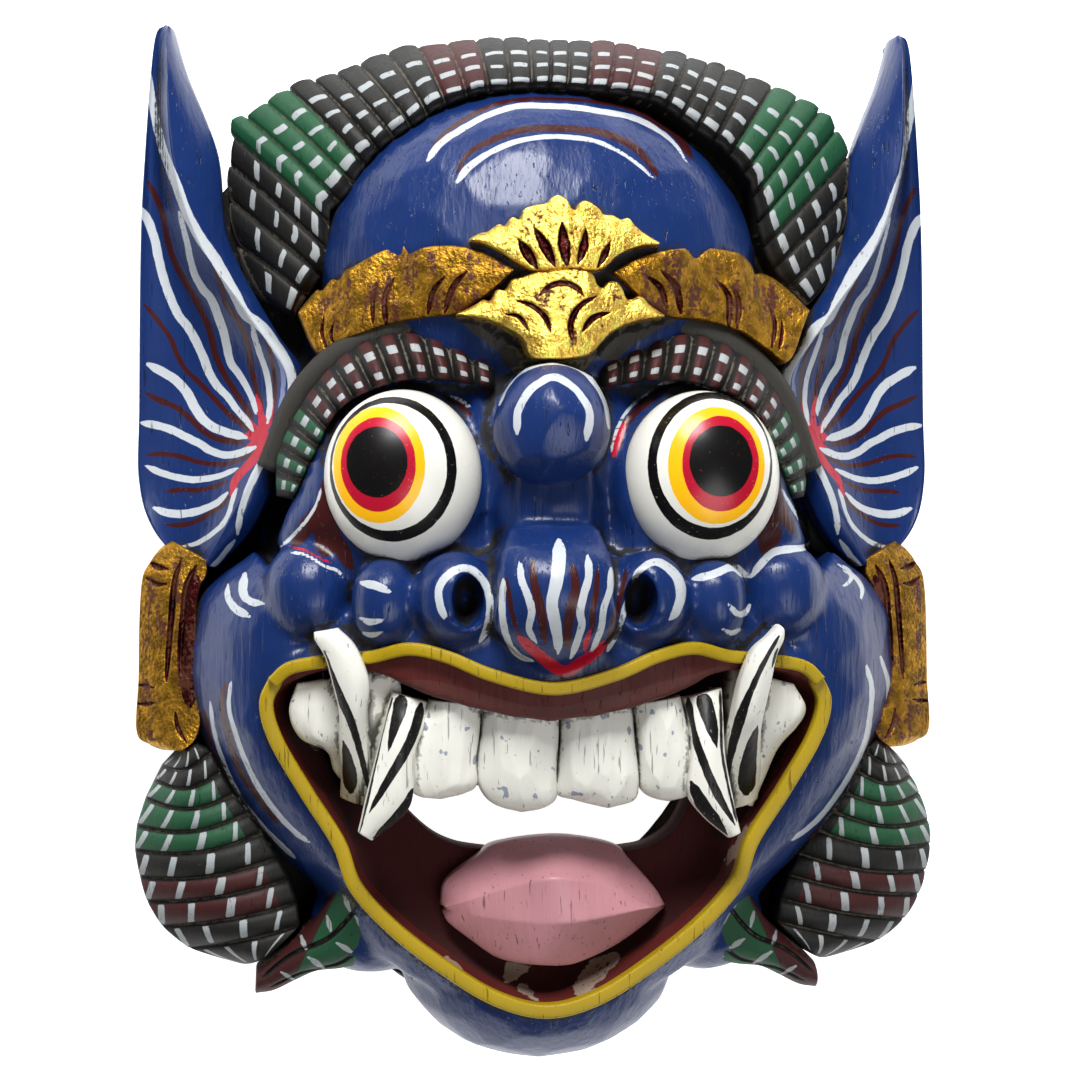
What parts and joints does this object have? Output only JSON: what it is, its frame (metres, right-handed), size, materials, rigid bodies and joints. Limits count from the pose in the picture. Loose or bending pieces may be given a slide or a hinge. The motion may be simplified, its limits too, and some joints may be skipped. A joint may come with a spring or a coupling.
{
  "type": "carved barong mask",
  "caption": "Painted guardian mask carved from one block of wood, hollow behind, with bulging eyes, open mouth, tusks, tall ears and a fan of hair.",
  "frame": {"origin": "under the middle of the mask, on the plane of its back rim", "axes": "+X across the mask, +Y from chin to crown, +Z out of the face"},
  "size_m": [0.2972, 0.38, 0.1259],
  "materials": {
    "blue_paint": "satin",
    "black_paint": "satin",
    "green_paint": "satin",
    "maroon_paint": "satin",
    "white_paint": "satin",
    "yellow_paint": "satin",
    "pink_paint": "satin",
    "gold_leaf": "rubbed metallic",
    "bare_wood": "matt"
  },
  "bodies": {
    "root": {"mask": "blue_paint"}
  },
  "joints": []
}
